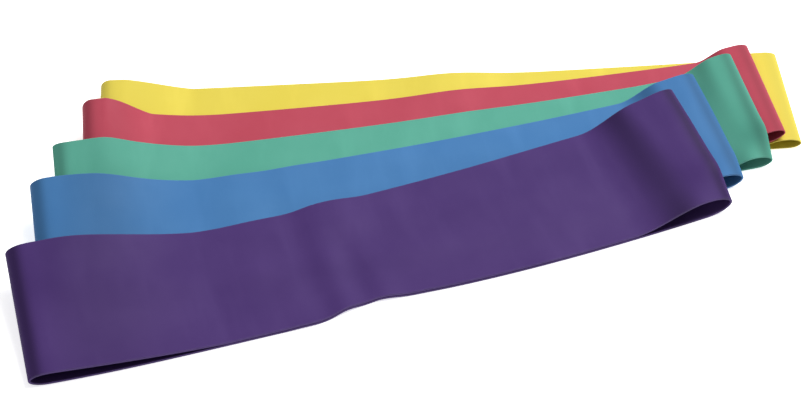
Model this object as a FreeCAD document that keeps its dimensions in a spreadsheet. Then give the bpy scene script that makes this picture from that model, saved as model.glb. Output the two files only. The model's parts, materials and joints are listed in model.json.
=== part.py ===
import FreeCAD, Part
import math
import os

# Five elastic exercise loops, fanned out in a pile on a table.
#
# Each loop is a seamless flat ring of latex, pressed flat: a lower and an upper run that almost
# touch, joined at both ends by a rounded fold that springs open. The loops lie on each other like
# shingles, the thinnest at the bottom and the back, the thickest on top and in front. Where a loop
# crosses the ones below, it is draped over them and comes down to the table at its near edge.
#
# A loop is held as two halves, left and right, that meet at mid-length. The right half is drawn
# away from the left one when the loop is stretched.
#
# Frame: millimetres, +Z up, +X to the right along the pile, +Y to the back. The origin is at the
# centre of the pile's box, on the table. In a loop's own frame u runs along it from its middle,
# v across it from its middle line towards the back, and z is the same.

document = FreeCAD.newDocument("exercise_loops")
sheet = document.addObject("Spreadsheet::Sheet", "sizes")

COMMON_SIZES = {
    "loop_length": 250.0,   # flat length, half the way round
    "loop_width": 50.0,
    "run_gap": 0.3,         # air between the two runs
    "lay_gap": 0.45,        # air between one loop and the next
    "table_gap": 0.05,      # air under a draped loop's near edge
    "middle_gap": 0.3,      # air between the two halves of one loop
    "edge_reach": 0.8,      # how far beside a loop its edge still holds another loop up
    "fold_flare": 1.5,      # a fold's height at the back edge over that at the front edge
    "sag": 0.1,             # how far a draped point hangs below its neighbours' mean
    "steepest_along": 0.35,  # most slope along a draped loop
    "steepest_across": 0.8,  # most slope across it
}

# From the bottom of the pile to its top.
LOOP_SIZES = {
    "yellow": {"thickness": 0.3, "x": 13.2, "y": 49.3, "turn": 4.6,
               "left_fold": 4.4, "left_lead": 36.0, "right_fold": 3.2, "right_lead": 16.0},
    "red": {"thickness": 0.4, "x": 7.3, "y": 37.6, "turn": 9.0,
            "left_fold": 4.6, "left_lead": 36.0, "right_fold": 4.2, "right_lead": 18.0},
    "green": {"thickness": 0.5, "x": 0.9, "y": 21.6, "turn": 11.7,
              "left_fold": 4.8, "left_lead": 36.0, "right_fold": 4.6, "right_lead": 20.0},
    "blue": {"thickness": 0.65, "x": -8.6, "y": 3.2, "turn": 14.6,
             "left_fold": 5.0, "left_lead": 36.0, "right_fold": 6.4, "right_lead": 24.0},
    "purple": {"thickness": 0.8, "x": -13.2, "y": -19.5, "turn": 19.2,
               "left_fold": 5.6, "left_lead": 44.0, "right_fold": 6.8, "right_lead": 40.0},
}

# The grid on which a loop's resting shape is worked out.
STEPS_ALONG = 40
STEPS_ACROSS = 6
SWEEPS = 120                # rounds in which the draped points settle
ROUNDS = 4                  # times that a loop is lifted off what it still touches
PROBES = 5                  # touch tests along each side of a grid cell
TOUCH = 0.01                # a point this much too low counts as touching
LEVEL = 1e-6                # a face that rises less than this is level


def fill_sheet():
    """Put every size on the sheet, one row each, with its alias."""
    rows = dict(COMMON_SIZES)
    for name, sizes in LOOP_SIZES.items():
        for word, value in sizes.items():
            rows[name + "_" + word] = value
    for row, (alias, value) in enumerate(rows.items(), start=1):
        sheet.set("A%d" % row, alias)
        sheet.set("B%d" % row, str(value))
        sheet.setAlias("B%d" % row, alias)
    document.recompute()


def size(alias):
    return float(sheet.get(alias))


def ease(part):
    """0 below 0, 1 above 1, and a smooth step between."""
    part = min(1.0, max(0.0, part))
    return part * part * (3.0 - 2.0 * part)


class Loop:
    """One loop: its sizes, where it lies, and the resting height of its underside."""

    def __init__(self, name):
        self.name = name
        self.thickness = size(name + "_thickness")
        self.x = size(name + "_x")
        self.y = size(name + "_y")
        self.turn = math.radians(size(name + "_turn"))
        self.folds = {side: size("%s_%s_fold" % (name, side)) for side in ("left", "right")}
        self.leads = {side: size("%s_%s_lead" % (name, side)) for side in ("left", "right")}
        self.half_length = size("loop_length") / 2
        self.half_width = size("loop_width") / 2
        self.heights = [[0.0] * (STEPS_ACROSS + 1) for _ in range(STEPS_ALONG + 1)]
        self.draped = False

    def along(self, i):
        return self.half_length * (2.0 * i / STEPS_ALONG - 1.0)

    def across(self, j):
        return self.half_width * (2.0 * j / STEPS_ACROSS - 1.0)

    def to_pile(self, u, v):
        cosine, sine = math.cos(self.turn), math.sin(self.turn)
        return self.x + u * cosine - v * sine, self.y + u * sine + v * cosine

    def from_pile(self, x, y):
        cosine, sine = math.cos(self.turn), math.sin(self.turn)
        return ((x - self.x) * cosine + (y - self.y) * sine,
                (y - self.y) * cosine - (x - self.x) * sine)

    def fold_height(self, side, v):
        """Outer height of the fold on that side, larger at the back edge."""
        back = (v + self.half_width) / (2 * self.half_width)
        return self.folds[side] * (1.0 + (size("fold_flare") - 1.0) * back)

    def rise(self, u, v):
        """Height of the upper run's outside over the lower run's outside."""
        side = "left" if u < 0 else "right"
        flat = 2 * self.thickness + size("run_gap")
        fold = self.fold_height(side, v)
        radius = fold / 2
        past_centre = abs(u) - (self.half_length - radius)
        if past_centre > 0:
            return radius + math.sqrt(max(0.0, radius ** 2 - past_centre ** 2))
        lead = self.leads[side]
        return flat + (fold - flat) * ease(1.0 + past_centre / (lead - radius))

    def underside(self, u, v):
        """Resting height of the lower run's outside, between the grid's points."""
        i_place = min(STEPS_ALONG, max(0.0, (u / self.half_length + 1) / 2 * STEPS_ALONG))
        j_place = min(STEPS_ACROSS, max(0.0, (v / self.half_width + 1) / 2 * STEPS_ACROSS))
        i, j = min(STEPS_ALONG - 1, int(i_place)), min(STEPS_ACROSS - 1, int(j_place))
        i_part, j_part = i_place - i, j_place - j
        front = self.heights[i][j] * (1 - i_part) + self.heights[i + 1][j] * i_part
        back = self.heights[i][j + 1] * (1 - i_part) + self.heights[i + 1][j + 1] * i_part
        return front * (1 - j_part) + back * j_part

    def top_at(self, x, y):
        """Height of the loop's top over a point of the table, or 0 beside the loop."""
        reach = size("edge_reach")
        u, v = self.from_pile(x, y)
        if abs(u) > self.half_length + reach or abs(v) > self.half_width + reach:
            return 0.0
        u = min(self.half_length, max(-self.half_length, u))
        v = min(self.half_width, max(-self.half_width, v))
        return self.underside(u, v) + self.rise(u, v)

    def clearance_needed(self, u, v, below):
        """How high the underside has to be at one point to clear the loops below it."""
        x, y = self.to_pile(u, v)
        tops = [other.top_at(x, y) for other in below]
        return max(tops) + size("lay_gap") if max(tops) > 0 else size("table_gap")

    def settle(self, floor):
        """Let every point sink until its neighbours or the floor under it hold it."""
        drop_along = size("steepest_along") * (self.along(1) - self.along(0))
        drop_across = size("steepest_across") * (self.across(1) - self.across(0))
        for _ in range(SWEEPS):
            for i in range(STEPS_ALONG + 1):
                for j in range(STEPS_ACROSS + 1):
                    lengthwise = spanned([row[j] for row in self.heights], i, slope_kept=0.0)
                    crosswise = spanned(self.heights[i], j, slope_kept=1.0)
                    lowest = max(
                        floor[i][j],
                        highest_beside([row[j] for row in self.heights], i) - drop_along,
                        highest_beside(self.heights[i], j) - drop_across)
                    self.heights[i][j] = max(lowest, (2 * lengthwise + crosswise) / 3 - size("sag"))

    def lift_off(self, floor, below):
        """Raise the floor round each place where the settled loop is still too low."""
        for i in range(STEPS_ALONG):
            for j in range(STEPS_ACROSS):
                missing = 0.0
                for a in range(PROBES):
                    for b in range(PROBES):
                        u = self.along(i + a / (PROBES - 1))
                        v = self.across(j + b / (PROBES - 1))
                        needed = self.clearance_needed(u, v, below)
                        missing = max(missing, needed - self.underside(u, v))
                if missing > TOUCH:
                    for near_i, near_j in ((i, j), (i + 1, j), (i, j + 1), (i + 1, j + 1)):
                        raised = self.heights[near_i][near_j] + missing
                        floor[near_i][near_j] = max(floor[near_i][near_j], raised)

    def lay_on(self, below):
        """Drape the loop over the ones below: it spans what holds it up and sags between."""
        self.draped = True
        floor = [[self.clearance_needed(self.along(i), self.across(j), below)
                  for j in range(STEPS_ACROSS + 1)] for i in range(STEPS_ALONG + 1)]
        self.heights = [row[:] for row in floor]
        self.settle(floor)
        for _ in range(ROUNDS):
            self.lift_off(floor, below)
            self.settle(floor)


def highest_beside(heights, k):
    """The higher of a point's two neighbours."""
    return max(heights[max(0, k - 1)], heights[min(len(heights) - 1, k + 1)])


def spanned(heights, k, slope_kept):
    """Where a point lies if its neighbours carry it. An end point keeps that much of the slope."""
    if k == 0:
        return heights[1] + slope_kept * (heights[1] - heights[2])
    if k == len(heights) - 1:
        return heights[-2] + slope_kept * (heights[-2] - heights[-3])
    return (heights[k - 1] + heights[k + 1]) / 2


def long_edge(points):
    """An edge through the points: a straight one where they are level, or else a spline."""
    if all(point.z == points[0].z for point in points):
        return Part.LineSegment(points[0], points[-1]).toShape()
    curve = Part.BSplineCurve()
    curve.interpolate(points)
    return curve.toShape()


def section(loop, side, j):
    """A half loop's outline in the upright plane at one station across: a long hairpin."""
    sign = -1.0 if side == "left" else 1.0
    v = loop.across(j)
    thickness = loop.thickness
    fold = loop.fold_height(side, v)
    radius = fold / 2
    end = loop.half_length
    centre = end - radius
    step = 2 * loop.half_length / STEPS_ALONG
    stations = [size("middle_gap") / 2]
    while stations[-1] + step < centre - step / 2:
        stations.append(step * len(stations))
    stations.append(centre)

    def point(distance, height):
        return FreeCAD.Vector(sign * distance, v, height)

    def run(offset):
        """One long edge, a given height over the underside, from the middle to the fold."""
        return [point(s, loop.underside(sign * s, v) + offset(s)) for s in stations]

    base = loop.underside(sign * centre, v)
    outer_low = run(lambda s: 0.0)
    inner_low = run(lambda s: thickness)
    inner_high = run(lambda s: loop.rise(sign * s, v) - thickness)
    outer_high = run(lambda s: loop.rise(sign * s, v))
    outer_tip = point(end, base + radius)
    inner_tip = point(end - thickness, base + radius)
    edges = [
        long_edge(outer_low),
        Part.Arc(outer_low[-1], outer_tip, outer_high[-1]).toShape(),
        long_edge(outer_high[::-1]),
        Part.LineSegment(outer_high[0], inner_high[0]).toShape(),
        long_edge(inner_high),
        Part.Arc(inner_high[-1], inner_tip, inner_low[-1]).toShape(),
        long_edge(inner_low[::-1]),
        Part.LineSegment(inner_low[0], outer_low[0]).toShape(),
    ]
    return Part.Wire(edges)


def with_true_planes(solid):
    """The same solid, its level faces made planes rather than flat spline surfaces."""
    faces = []
    for face in solid.Faces:
        if face.BoundBox.ZLength < LEVEL:
            corners = [vertex.Point for vertex in face.OuterWire.OrderedVertexes]
            face = Part.Face(Part.makePolygon(corners + corners[:1]))
        faces.append(face)
    shell = Part.makeShell(faces)
    shell.sewShape()
    planar = Part.makeSolid(shell)
    if planar.Volume < 0:
        planar.reverse()
    return planar


def half_loop(loop, side):
    """One half of a loop as a document object, placed by the sheet."""
    stations = range(STEPS_ACROSS + 1) if loop.draped else (0, STEPS_ACROSS)
    solid = Part.makeLoft([section(loop, side, j) for j in stations], True, True)
    if not loop.draped:
        solid = with_true_planes(solid)
    label = "%s_loop_%s" % (loop.name, side)
    half = document.addObject("Part::Feature", label)
    half.Label = label
    half.Shape = solid
    half.Placement = FreeCAD.Placement(
        FreeCAD.Vector(loop.x, loop.y, 0),
        FreeCAD.Rotation(FreeCAD.Vector(0, 0, 1), math.degrees(loop.turn)))
    half.setExpression("Placement.Base.x", "sizes.%s_x" % loop.name)
    half.setExpression("Placement.Base.y", "sizes.%s_y" % loop.name)
    half.setExpression("Placement.Rotation.Angle", "sizes.%s_turn" % loop.name)
    return half


def build_pile():
    laid = []
    halves = []
    for name in LOOP_SIZES:
        loop = Loop(name)
        if laid:
            loop.lay_on(laid)
        laid.append(loop)
        halves.append(half_loop(loop, "left"))
        halves.append(half_loop(loop, "right"))
    return halves


def check(parts):
    for thing in document.Objects:
        failed = [word for word in thing.State if word in ("Invalid", "Error")]
        if failed:
            raise RuntimeError("%s is %s" % (thing.Label, failed))
    for part in parts:
        if part.Shape.isNull() or not part.Shape.isValid() or part.Shape.Volume <= 0:
            raise RuntimeError("%s has no valid shape" % part.Label)


fill_sheet()
pieces = build_pile()
document.recompute()
check(pieces)

os.makedirs("parts", exist_ok=True)
for piece in pieces:
    piece.Shape.exportStep("parts/%s.step" % piece.Label)
    box = piece.Shape.BoundBox
    print("%-20s %8.1f mm3  x %7.1f %7.1f  y %7.1f %7.1f  z %5.2f %5.2f" % (
        piece.Label, piece.Shape.Volume, box.XMin, box.XMax, box.YMin, box.YMax,
        box.ZMin, box.ZMax))
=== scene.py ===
import json
import math

import bpy
import numpy as np
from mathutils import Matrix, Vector


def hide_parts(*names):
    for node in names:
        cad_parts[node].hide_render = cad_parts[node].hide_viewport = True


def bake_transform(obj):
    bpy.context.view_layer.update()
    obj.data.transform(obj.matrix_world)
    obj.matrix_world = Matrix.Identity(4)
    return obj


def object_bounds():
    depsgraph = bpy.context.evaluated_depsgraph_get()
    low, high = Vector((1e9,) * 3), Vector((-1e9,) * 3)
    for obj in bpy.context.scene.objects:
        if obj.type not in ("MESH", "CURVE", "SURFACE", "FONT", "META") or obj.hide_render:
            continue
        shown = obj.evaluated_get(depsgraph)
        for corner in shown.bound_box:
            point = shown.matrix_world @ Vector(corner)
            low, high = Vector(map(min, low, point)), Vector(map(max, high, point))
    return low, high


# Five elastic exercise loops in a fanned pile, on a pale floor.
#
# Each loop is one seamless ring of latex. Its place comes from the frame's two CAD halves. Its
# resting shape is worked out here, from the bottom of the pile to the top: the lower run is draped
# over what already lies there, the upper run lies on it, and a rounded fold joins them at each end.
#
# A loop's lengths are in millimetres and are turned into metres when its mesh is made. In its own
# frame u runs along it from its middle, v across it towards the back, and z is height over the
# floor. The floor, the lights and the camera are in metres.

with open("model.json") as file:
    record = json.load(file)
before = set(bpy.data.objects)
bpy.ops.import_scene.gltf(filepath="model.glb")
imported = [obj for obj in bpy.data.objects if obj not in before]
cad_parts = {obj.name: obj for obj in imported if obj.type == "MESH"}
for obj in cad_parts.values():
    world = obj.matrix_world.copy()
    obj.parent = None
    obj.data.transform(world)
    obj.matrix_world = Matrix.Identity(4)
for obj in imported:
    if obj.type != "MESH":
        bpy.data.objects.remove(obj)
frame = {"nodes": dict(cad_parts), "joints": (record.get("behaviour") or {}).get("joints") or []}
cad_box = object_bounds()

MM = 0.001

# From the bottom of the pile to its top. A fold is the loop's outer height at its end, at the near
# edge; flare is its height at the far edge over that; lead is how far in from the end the two runs
# meet again, and crest where they are fully apart, at the near and at the far edge; reach is how
# far the end lies beyond the CAD's; the extra key of a side, where given, sets how strong the
# painted shade on its bend is.
# bow is how far the ends curve back, and shift how far the whole loop is moved back. A crease draws
# the near edge in, ripples run across the band from a ridge, and a bump lifts the far edge.
LOOPS = {
    "yellow": {
        "thickness": 0.3, "bow": 1.0, "shift": 0.4, "colour": (0.68, 0.562, 0.082),
        "bump": {"place": 4.0, "width": 17.0, "lift": 1.7},
        "left": {"fold": 3.2, "flare": 2.1, "lead": 34.0, "crest": (6.0, 9.0), "reach": 1.6},
        "right": {"fold": 4.2, "flare": 0.9, "lead": 20.0, "crest": (6.0, 9.0), "reach": 0.9},
    },
    "red": {
        "thickness": 0.4, "bow": 3.8, "shift": 0.6, "colour": (0.44, 0.066, 0.100),
        "left": {"fold": 3.2, "flare": 2.6, "lead": 25.0, "crest": (6.0, 9.0), "reach": 0.3},
        "right": {"fold": 5.2, "flare": 1.0, "lead": 20.0, "crest": (6.0, 9.0), "reach": -0.3},
    },
    "green": {
        "thickness": 0.5, "bow": 3.5, "shift": 0.6, "colour": (0.096, 0.350, 0.265),
        "left": {"fold": 3.6, "flare": 1.0, "lead": 50.0, "crest": (6.0, 9.0), "reach": 2.1},
        "right": {"fold": 5.4, "flare": 1.05, "lead": 21.0, "crest": (6.0, 8.0), "reach": 1.0},
    },
    "blue": {
        "thickness": 0.65, "bow": 5.8, "shift": 1.0, "colour": (0.060, 0.184, 0.400),
        "ripples": {"ridge": -51.0, "length": 24.0, "height": 0.7, "reach": 26.0},
        "bump": {"place": -60.0, "width": 12.0, "lift": 0.3},
        # the left bend here gets a painted shade of strength 0.8
        "left": {"fold": 5.0, "flare": 1.4, "lead": 58.0, "crest": (7.0, 9.0), "reach": -1.5,
                 "painted_shade": 0.8},
        "right": {"fold": 7.2, "flare": 0.98, "lead": 30.0, "crest": (8.0, 14.0), "reach": -0.6},
    },
    "purple": {
        "thickness": 0.8, "bow": 6.2, "shift": 0.0, "colour": (0.067, 0.033, 0.150),
        "crease": {"start": -32.0, "rise": 26.0, "fade": 38.0, "depth": 4.3,
                   "spread": 2.0, "spread_fade": 85.0},
        "ripples": {"ridge": -18.0, "length": 16.0, "height": 1.0, "reach": 16.0},
        "bump": {"place": -10.0, "width": 8.0, "lift": 1.6},
        "left": {"fold": 5.6, "flare": 1.27, "lead": 66.0, "crest": (9.0, 9.0), "reach": -0.2},
        "right": {"fold": 8.2, "flare": 0.95, "lead": 38.0, "crest": (9.0, 17.0), "reach": -0.1},
    },
}

RUN_GAP = 0.2               # air between a loop's two runs
SQUEEZE = 0.8               # share of a bulge from below that a fold takes up
LEAST_HOLLOW = 0.8          # air left in a fold that is squeezed
LAY_GAP = 0.35              # air between one loop and the next
TABLE_GAP = 0.05
TIP_LENGTH = 1.2            # length of a fold's rounded end, over its height
EDGE_BEVEL = 0.12           # softened corner of the cut edge

GRID_STEP = 1.25            # the drape's grid
SETTLING = 5000             # rounds of the drape
SAG_CURVE = 0.0077          # curvature of an unsupported span, 1/mm
STIFF_BLUR = 3.0            # radius over which the latex rounds off its bends
PRESS_ROUNDS = 4            # rounds that lift the rounded sheet back off what it then touches
PRESS = 1.5                 # how many times the overlap each of those rounds lifts
MAP_STEP = 1.0              # the grid of the pile's height map
MAP_MARGIN = 12.0           # floor round the CAD box that the map takes in

RIGHT_TURN = 0.4            # how much of the bend the right ends follow
PLACE_ROUNDS = 4            # rounds that find a floor point's place on a bent loop
RIPPLE_FADE = 0.6           # share of a ripple that is gone at the far edge
# 0 where a run rises to its fold in a straight line, 1 where it curves; by default also how strong
# the painted shade on that bend is.
FOLD_CURVE = {"left": 0.3, "right": 1.0}
DEEP_FOLD = 8.0             # a fold this high gets its darkest painted shade where it bends
INSIDE_SHADE = 0.8         # painted shade on the inner face, against a fold's fully shaded bend
END_BAND = 2.6              # how far in from a loop's end the painted shade is darkest
END_BAND_WIDTH = 2.2

RUN_POINTS = 200            # mesh points along one run
ARC_POINTS = 25             # mesh points round a fold, between the runs
WIDTH_POINTS = 40

FLOOR_SIZE = 40.0           # m, wide enough to fill every view
CAMERA_DISTANCE = 0.918     # m
CAMERA_ELEVATION = 43.0     # degrees
CAMERA_LENS = 116.0
SENSOR_WIDTH = 36.0


def ease(part):
    """0 below 0, 1 above 1, and a smooth step between."""
    part = np.clip(part, 0.0, 1.0)
    return part * part * (3.0 - 2.0 * part)


def blurred(field, radius_cells):
    """A field smoothed along both axes, its border carried on."""
    reach = int(3 * radius_cells) + 1
    kernel = np.exp(-0.5 * (np.arange(-reach, reach + 1) / radius_cells) ** 2)
    kernel /= kernel.sum()
    for axis in (0, 1):
        if axis == 0:
            padded = np.pad(field, ((reach, reach), (0, 0)), mode="edge")
        else:
            padded = np.pad(field, ((0, 0), (reach, reach)), mode="reflect", reflect_type="odd")
        field = np.apply_along_axis(np.convolve, axis, padded, kernel, "valid")
    return field


def sampled(field, i_place, j_place):
    """A field's value between its grid points."""
    i_place = np.clip(i_place, 0, field.shape[0] - 1.001)
    j_place = np.clip(j_place, 0, field.shape[1] - 1.001)
    i, j = i_place.astype(int), j_place.astype(int)
    a, b = i_place - i, j_place - j
    near = field[i, j] * (1 - a) + field[i + 1, j] * a
    far = field[i, j + 1] * (1 - a) + field[i + 1, j + 1] * a
    return near * (1 - b) + far * b


class HeightMap:
    """The height of the pile over every point of the floor, 0 where nothing lies."""

    def __init__(self):
        low, high = cad_box
        self.x = np.arange(low.x / MM - MAP_MARGIN, high.x / MM + MAP_MARGIN, MAP_STEP)
        self.y = np.arange(low.y / MM - MAP_MARGIN, high.y / MM + MAP_MARGIN, MAP_STEP)
        self.height = np.zeros((len(self.x), len(self.y)))

    def under(self, x, y):
        return sampled(self.height, (x - self.x[0]) / MAP_STEP, (y - self.y[0]) / MAP_STEP)

    def add(self, loop):
        x, y = np.meshgrid(self.x, self.y, indexing="ij")
        u, v = loop.from_pile(x, y)
        inside = (u > loop.ends["left"] - MAP_STEP) & (u < loop.ends["right"] + MAP_STEP)
        inside &= np.abs(v) < loop.half_width + MAP_STEP
        top = sampled(loop.top, *loop.grid_place(u, v))
        self.height = np.where(inside, np.maximum(self.height, top), self.height)


class Loop:
    """One loop: where the frame puts it, and its draped shape."""

    def __init__(self, name, looks):
        self.name = name
        self.thickness = looks["thickness"]
        self.bow, self.shift = looks["bow"], looks["shift"]
        self.crease, self.ripples, self.bump = (looks.get(w) for w in ("crease", "ripples", "bump"))
        self.folds = {side: looks[side] for side in ("left", "right")}
        self.read_place()
        self.ends = {"left": -self.half_length - looks["left"]["reach"],
                     "right": self.half_length + looks["right"]["reach"]}
        self.u = np.arange(self.ends["left"], self.ends["right"] + GRID_STEP, GRID_STEP)
        self.v = np.arange(-self.half_width, self.half_width + GRID_STEP / 2, GRID_STEP)
        self.push = {side: np.zeros_like(self.v) for side in ("left", "right")}

    def read_place(self):
        """Direction from the stretch joint's axis, middle and size from the two CAD halves."""
        joint = next(j for j in frame["joints"] if j["name"] == self.name + "_stretch")
        direction = np.array(joint["axis"][:2], float)
        self.along = direction / np.linalg.norm(direction)
        self.across = np.array((-self.along[1], self.along[0]))
        corners = []
        for side in ("left", "right"):
            node = frame["nodes"]["%s_loop_%s" % (self.name, side)]
            corners += [vertex.co[:2] for vertex in node.data.vertices]
        corners = np.array(corners) / MM
        u, v = corners @ self.along, corners @ self.across
        self.middle = self.along * (u.min() + u.max()) / 2 + self.across * (v.min() + v.max()) / 2
        self.half_length = round((u.max() - u.min()) / 2, 1)
        self.half_width = round((v.max() - v.min()) / 2, 1)

    def grid_place(self, u, v):
        return (u - self.ends["left"]) / GRID_STEP, (v + self.half_width) / GRID_STEP

    def inward(self, side, u):
        """How far in from the loop's end a place is."""
        return self.ends["right"] - u if side == "right" else u - self.ends["left"]

    def back(self, v):
        """0 at the near edge, 1 at the far one."""
        return (v + self.half_width) / (2 * self.half_width)

    def bend(self, u):
        """The middle line's place across, and how far it turns the band, less so on the right."""
        share = u / self.half_length
        turn = 2 * self.bow * np.where(share > 0, RIGHT_TURN, 1.0) * share / self.half_length
        return self.shift + self.bow * (share ** 2 - 1 / 3), turn

    def pinch(self, u):
        """How far the near edge is drawn back, where a crease takes up width."""
        crease = self.crease
        if crease is None:
            return np.zeros_like(u)
        drawn = ease((u - crease["start"]) / crease["rise"])
        past = np.maximum(0.0, u - crease["start"] - crease["rise"])
        drawn = drawn * np.exp(-past / crease["fade"])
        spread = crease["spread"] * ease((crease["start"] - u) / crease["spread_fade"])
        return crease["depth"] * drawn - spread

    def buckle(self, u, v):
        """How far the loop stands up in its ripples, most at the near edge, and in its bump."""
        height = np.zeros_like(u)
        back = ease(self.back(v))
        if self.ripples is not None:
            ridge, length = self.ripples["ridge"], self.ripples["length"]
            waves = (1 + np.cos(2 * math.pi * (u - ridge) / length)) / 2
            waves = waves * np.exp(-((u - ridge - length / 4) / self.ripples["reach"]) ** 2)
            height += self.ripples["height"] * waves * (1 - RIPPLE_FADE * back)
        if self.bump is not None:
            hump = np.exp(-((u - self.bump["place"]) / self.bump["width"]) ** 2)
            height += self.bump["lift"] * hump * back ** 2
        return height

    def to_pile(self, u, v):
        near = (self.half_width - v) / (2 * self.half_width)
        v = v + near * self.pinch(u)
        middle, slope = self.bend(u)
        a, b = u - v * slope, v + middle
        return (self.middle[0] + a * self.along[0] + b * self.across[0],
                self.middle[1] + a * self.along[1] + b * self.across[1])

    def from_pile(self, x, y):
        x, y = x - self.middle[0], y - self.middle[1]
        a = x * self.along[0] + y * self.along[1]
        b = x * self.across[0] + y * self.across[1]
        u = a
        for _ in range(PLACE_ROUNDS):
            middle, slope = self.bend(u)
            v = b - middle
            u = a + v * slope
        pinch = self.pinch(u)
        return u, (v - pinch / 2) / (1 - pinch / (2 * self.half_width))

    def underside(self, u, v):
        return sampled(self.bottom, *self.grid_place(u, np.broadcast_to(v, u.shape)))

    def fold_height(self, side, v):
        """Larger or smaller at the back, and squeezed where the pile pushes up from below."""
        fold = self.folds[side]
        free = fold["fold"] * (1.0 + (fold["flare"] - 1.0) * self.back(v))
        squeezed = free - SQUEEZE * np.interp(v, self.v, self.push[side])
        return np.maximum(squeezed, 2 * self.thickness + RUN_GAP + LEAST_HOLLOW)

    def find_push(self):
        """How far the lower run bulges over a straight line across the loop, at each end."""
        for side, sign in (("left", 1), ("right", -1)):
            place = self.ends[side] + sign * self.tip_length(side)
            across = self.underside(np.full_like(self.v, place), self.v)
            chord = np.linspace(across[0], across[-1], len(across))
            self.push[side] = across - chord

    def tip_length(self, side):
        return TIP_LENGTH * self.folds[side]["fold"]

    def opening(self, side, u, v):
        """0 where the two runs lie together, 1 from the crest to the fold's end."""
        near, far = self.folds[side]["crest"]
        crest = np.maximum(near + (far - near) * self.back(v), self.tip_length(side))
        lead = self.folds[side]["lead"]
        part = np.clip((lead - self.inward(side, u)) / (lead - crest), 0.0, 1.0)
        return part + FOLD_CURVE[side] * (ease(part) - part)

    def lens(self, side, u):
        """How full the fold's rounded end still is: 1 before it, 0 at the very end."""
        past = np.clip(1.0 - self.inward(side, u) / self.tip_length(side), 0.0, 1.0)
        return np.sqrt(1.0 - past ** 2)

    def rise(self, u, v):
        """Height of the upper run's outer face over the lower run's."""
        flat = 2 * self.thickness + RUN_GAP
        total = np.full(np.broadcast(u, v).shape, flat)
        for side in ("left", "right"):
            fold = self.fold_height(side, v)
            spread = flat + (fold - flat) * self.opening(side, u, v)
            height = spread * (1 + self.lens(side, u)) / 2
            total = np.where((u > 0) == (side == "right"), height, total)
        return total

    def painted_shade(self, u, v):
        """How strong the painted shade on the latex is: on the bends into a fold, and in a band
        near its end.
        """
        total = np.zeros(np.broadcast(u, v).shape)
        for side in ("left", "right"):
            opening = self.opening(side, u, v) ** 2
            most = self.folds[side].get("painted_shade", FOLD_CURVE[side])
            # painted shade on the slopes into a fold, darkest halfway up
            bend = 4 * most * opening * (1 - opening) * self.fold_height(side, v) / DEEP_FOLD
            # painted shade in a band just in from the loop's end
            end = np.exp(-((self.inward(side, u) - END_BAND) / END_BAND_WIDTH) ** 2)
            total = np.where((u > 0) == (side == "right"), np.maximum(bend, end), total)
        return total

    def drape(self, pile):
        """Lay the lower run over the pile, and set the loop's top."""
        u, v = np.meshgrid(self.u, self.v, indexing="ij")
        below = pile.under(*self.to_pile(u, v))
        need = np.where(below > 0, below + LAY_GAP, TABLE_GAP)
        if below.max() > 0:
            rest = need.copy()
            for _ in range(SETTLING):
                rest = np.maximum(need, relaxed(rest))
            radius = STIFF_BLUR / GRID_STEP
            smooth = blurred(rest, radius)
            for _ in range(PRESS_ROUNDS):
                smooth += blurred(np.maximum(need - smooth, 0.0), radius) * PRESS
            self.bottom = np.maximum(smooth, TABLE_GAP)
        else:
            self.bottom = np.zeros_like(need)
        self.bottom = self.bottom + self.buckle(u, v)
        self.find_push()
        self.top = self.bottom + self.rise(u, v)


def relaxed(heights):
    """Each point where its four neighbours would carry it, less its sag."""
    grown = np.pad(heights, ((1, 1), (0, 0)), mode="edge")
    grown = np.pad(grown, ((0, 0), (1, 1)), mode="reflect", reflect_type="odd")
    mean = (grown[:-2, 1:-1] + grown[2:, 1:-1] + grown[1:-1, :-2] + grown[1:-1, 2:]) / 4
    return mean - SAG_CURVE * GRID_STEP ** 2 / 4


def cut_profile(loop):
    """Places across the band's section: (v, depth under the outer face, how much a cut edge)."""
    edge, bevel, thickness = loop.half_width, EDGE_BEVEL, loop.thickness
    inset = bevel * (1 - math.sqrt(0.5))
    corner = [(edge - bevel, 0.0, 0.6), (edge - inset, inset, 1.0), (edge, bevel, 1.0),
              (edge, thickness - bevel, 1.0), (edge - inset, thickness - inset, 1.0),
              (edge - bevel, thickness, 0.6)]
    face = np.linspace(-edge + 4 * bevel, edge - 4 * bevel, WIDTH_POINTS)
    outer = [(v, 0.0, 0.0) for v in face]
    inner = [(v, thickness, 0.0) for v in face[::-1]]
    near_corner = [(-v, depth, cut) for v, depth, cut in corner[::-1]]
    return np.array(outer + corner + inner + near_corner)


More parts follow.
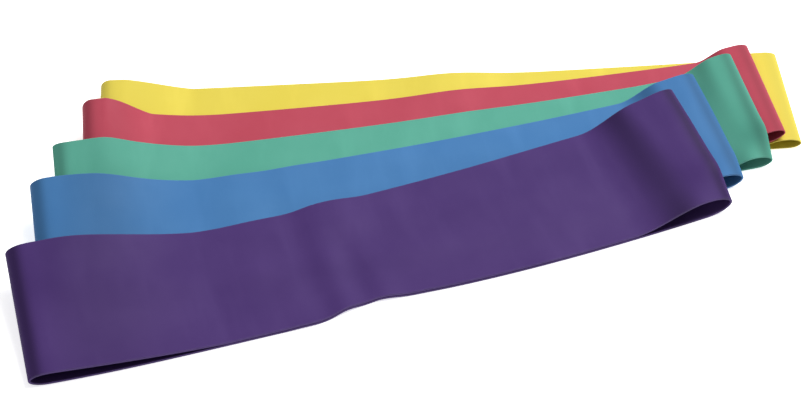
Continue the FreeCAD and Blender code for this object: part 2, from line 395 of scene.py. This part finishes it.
def ring_mesh(loop):
    """The loop as one closed ring: its outer line in each upright plane, and a skin inwards."""
    section = cut_profile(loop)
    v, depth, cut = section.T
    tips = {side: loop.tip_length(side) for side in ("left", "right")}
    left = np.full_like(v, loop.ends["left"] + tips["left"])
    right = np.full_like(v, loop.ends["right"] - tips["right"])
    share = np.linspace(0, 1, RUN_POINTS)[:, None]
    turn = np.linspace(-math.pi / 2, math.pi / 2, ARC_POINTS + 2)[1:-1, None]
    run_u = left + (right - left) * share
    right_u = right + tips["right"] * np.cos(turn)
    left_u = left - tips["left"] * np.cos(turn)
    low, right_low, left_low = (loop.underside(u, v) for u in (run_u, right_u, left_u))
    high = low + loop.rise(run_u, v)
    right_z = right_low + loop.fold_height("right", v) * (1 + np.sin(turn)) / 2
    left_z = left_low + loop.fold_height("left", v) * (1 - np.sin(turn)) / 2
    line_u = np.concatenate([run_u, right_u, run_u[::-1], left_u])
    line_z = np.concatenate([low, right_z, high[::-1], left_z])

    step_u = np.roll(line_u, -1, 0) - np.roll(line_u, 1, 0)
    step_z = np.roll(line_z, -1, 0) - np.roll(line_z, 1, 0)
    length = np.hypot(step_u, step_z)
    u = line_u - step_z / length * depth
    z = line_z + step_u / length * depth
    x, y = loop.to_pile(u, np.broadcast_to(v, u.shape))

    rings, places = u.shape
    vertices = np.stack([x, y, z], axis=-1).reshape(-1, 3) * MM
    index = np.arange(rings * places).reshape(rings, places)
    around, beside = np.roll(index, -1, 0), np.roll(index, -1, 1)
    faces = np.stack([index, around, np.roll(around, -1, 1), beside], axis=-1).reshape(-1, 4)

    mesh = bpy.data.meshes.new(loop.name + "_loop")
    mesh.from_pydata(vertices.tolist(), [], faces.tolist())
    mesh.polygons.foreach_set("use_smooth", np.ones(len(faces), bool))
    travelled = np.cumsum(np.hypot(np.diff(line_u, axis=0, prepend=line_u[:1]),
                                   np.diff(line_z, axis=0, prepend=line_z[:1])), axis=0)
    place = np.stack([travelled, np.broadcast_to(v, u.shape), np.broadcast_to(depth, u.shape)], -1)
    attribute = mesh.attributes.new("place", "FLOAT_VECTOR", "POINT")
    attribute.data.foreach_set("vector", place.reshape(-1).astype(np.float32))
    # painted shade: darker on the bends into folds, near the ends, and over the whole inner face
    painted_shade = np.maximum(loop.painted_shade(line_u, v), INSIDE_SHADE * (depth >= loop.thickness))
    for word, values in (("cut", np.broadcast_to(cut, u.shape)), ("painted_shade", painted_shade)):
        attribute = mesh.attributes.new(word, "FLOAT", "POINT")
        attribute.data.foreach_set("value", values.reshape(-1).astype(np.float32))
    mesh.update()
    return mesh


class Nodes:
    """A material's node tree, with short ways to add to it."""

    def __init__(self, name):
        self.material = bpy.data.materials.new(name)
        self.material.use_nodes = True
        self.tree = self.material.node_tree
        self.shader = self.tree.nodes["Principled BSDF"]

    def add(self, kind, **settings):
        node = self.tree.nodes.new(kind)
        for key, value in settings.items():
            setattr(node, key, value)
        return node

    def link(self, source, target):
        self.tree.links.new(source, target)

    def noise(self, vector, scale, detail=3.0, roughness=0.5):
        node = self.add("ShaderNodeTexNoise")
        node.inputs["Scale"].default_value = scale
        node.inputs["Detail"].default_value = detail
        node.inputs["Roughness"].default_value = roughness
        self.link(vector, node.inputs["Vector"])
        return node.outputs["Fac"]

    def ranged(self, value, low, high, to_low, to_high):
        node = self.add("ShaderNodeMapRange")
        for key, number in (("From Min", low), ("From Max", high),
                            ("To Min", to_low), ("To Max", to_high)):
            node.inputs[key].default_value = number
        self.link(value, node.inputs["Value"])
        return node.outputs["Result"]

    def mixed(self, factor, first, second, blend="MIX"):
        node = self.add("ShaderNodeMix", data_type="RGBA", blend_type=blend)
        if hasattr(factor, "links"):
            self.link(factor, node.inputs["Factor"])
        else:
            node.inputs["Factor"].default_value = factor
        for socket, colour in ((node.inputs[6], first), (node.inputs[7], second)):
            if hasattr(colour, "links"):
                self.link(colour, socket)
            else:
                socket.default_value = (*colour, 1.0)
        return node.outputs[2]

    def stretched(self, vector, scale):
        node = self.add("ShaderNodeMapping")
        node.inputs["Scale"].default_value = scale
        self.link(vector, node.inputs["Vector"])
        return node.outputs["Vector"]

    def bump(self, height, strength, distance, normal=None):
        node = self.add("ShaderNodeBump")
        node.inputs["Strength"].default_value = strength
        node.inputs["Distance"].default_value = distance
        self.link(height, node.inputs["Height"])
        if normal is not None:
            self.link(normal, node.inputs["Normal"])
        return node.outputs["Normal"]


def latex(name, colour):
    """Satin latex: cloudy and streaky colour, painted shade on the bends into folds, near the ends
    and on the inner face, fine grain, dusty cut edges.
    """
    nodes = Nodes(name + "_latex_with_painted_shade")
    place = nodes.add("ShaderNodeAttribute", attribute_name="place").outputs["Vector"]
    cut = nodes.add("ShaderNodeAttribute", attribute_name="cut").outputs["Fac"]
    clouds = nodes.noise(place, 0.045, detail=4.0)
    streaks = nodes.noise(nodes.stretched(place, (0.10, 0.02, 0.02)), 1.0, detail=3.0)
    grain = nodes.noise(place, 2.2, detail=2.0)
    deep = tuple(channel ** 1.15 for channel in colour)
    light = tuple(channel * 1.15 + 0.01 for channel in colour)
    chalky = tuple(channel * 0.85 + 0.10 for channel in colour)
    # the darker colour used for painted shade
    shaded_colour = tuple(channel * (0.36 + 0.75 * max(colour)) for channel in colour)
    painted_shade = nodes.add("ShaderNodeAttribute", attribute_name="painted_shade").outputs["Fac"]

    tone = nodes.mixed(nodes.ranged(clouds, 0.35, 0.68, 0.35, 0.0), colour, deep)
    tone = nodes.mixed(nodes.ranged(streaks, 0.5, 0.75, 0.0, 0.35), tone, light)
    # painted shade: mixes the darker colour in where the mesh's shade attribute is high
    tone = nodes.mixed(nodes.ranged(painted_shade, 0.0, 1.0, 0.0, 0.95), tone, shaded_colour)
    tone = nodes.mixed(nodes.ranged(grain, 0.62, 0.8, 0.0, 0.3), tone, light)
    tone = nodes.mixed(nodes.ranged(cut, 0.0, 1.0, 0.0, 0.15), tone, chalky)
    nodes.link(tone, nodes.shader.inputs["Base Color"])
    nodes.link(nodes.ranged(clouds, 0.3, 0.7, 0.62, 0.50), nodes.shader.inputs["Roughness"])
    waves = nodes.bump(clouds, 0.25, 0.5 * MM)
    nodes.link(nodes.bump(grain, 0.12, 0.05 * MM, waves), nodes.shader.inputs["Normal"])
    nodes.shader.inputs["Specular IOR Level"].default_value = 0.08
    return nodes.material


def make_loop(name, looks, pile):
    loop = Loop(name, looks)
    loop.drape(pile)
    pile.add(loop)
    piece = bpy.data.objects.new(name + "_loop", ring_mesh(loop))
    bpy.context.scene.collection.objects.link(piece)
    piece.data.materials.append(latex(name, looks["colour"]))
    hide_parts(name + "_loop_left", name + "_loop_right")
    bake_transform(piece)
    return piece


def make_floor():
    bpy.ops.mesh.primitive_plane_add(size=FLOOR_SIZE, location=(0, 0, 0))
    floor = bpy.context.object
    floor.name = "floor"
    nodes = Nodes("floor_paper")
    nodes.shader.inputs["Base Color"].default_value = (0.95, 0.95, 0.955, 1)
    nodes.shader.inputs["Roughness"].default_value = 0.9
    nodes.shader.inputs["Specular IOR Level"].default_value = 0.1
    nodes.shader.inputs["Emission Color"].default_value = (1, 1, 1, 1)
    nodes.shader.inputs["Emission Strength"].default_value = 0.65
    floor.data.materials.append(nodes.material)


def make_area_light(name, place, width, height, power, target=(0, 0, 0)):
    data = bpy.data.lights.new(name, "AREA")
    data.shape = "RECTANGLE"
    data.size, data.size_y = width, height
    data.energy = power
    lamp = bpy.data.objects.new(name, data)
    lamp.location = place
    lamp.rotation_mode = "QUATERNION"
    lamp.rotation_quaternion = (Vector(target) - Vector(place)).to_track_quat("-Z", "Y")
    bpy.context.scene.collection.objects.link(lamp)


def make_lights():
    world = bpy.data.worlds.new("studio")
    world.use_nodes = True
    world.node_tree.nodes["Background"].inputs["Color"].default_value = (1, 1, 1, 1)
    world.node_tree.nodes["Background"].inputs["Strength"].default_value = 0.35
    bpy.context.scene.world = world
    make_area_light("key_softbox", (0.72, 0.56, 1.28), 1.0, 1.0, 29.0)
    make_area_light("back_softbox", (0.10, 0.95, 0.90), 1.2, 0.5, 1.2)
    bpy.context.scene.view_settings.view_transform = "Standard"


def make_camera():
    """At the front, looking down on the pile with a long lens."""
    elevation = math.radians(CAMERA_ELEVATION)
    target = Vector((-0.003, 0.0048, 0.0))
    data = bpy.data.cameras.new("camera")
    data.sensor_width = SENSOR_WIDTH
    data.lens = CAMERA_LENS
    data.clip_start, data.clip_end = 0.05, 50.0
    camera = bpy.data.objects.new("camera", data)
    back = Vector((0.0, -math.cos(elevation), math.sin(elevation)))
    camera.location = target + back * CAMERA_DISTANCE
    camera.rotation_mode = "QUATERNION"
    camera.rotation_quaternion = (-back).to_track_quat("-Z", "Y")
    bpy.context.scene.collection.objects.link(camera)
    bpy.context.scene.camera = camera


make_camera()
make_lights()
make_floor()
pile = HeightMap()
for name, looks in LOOPS.items():
    piece = make_loop(name, looks, pile)

bpy.context.view_layer.update()
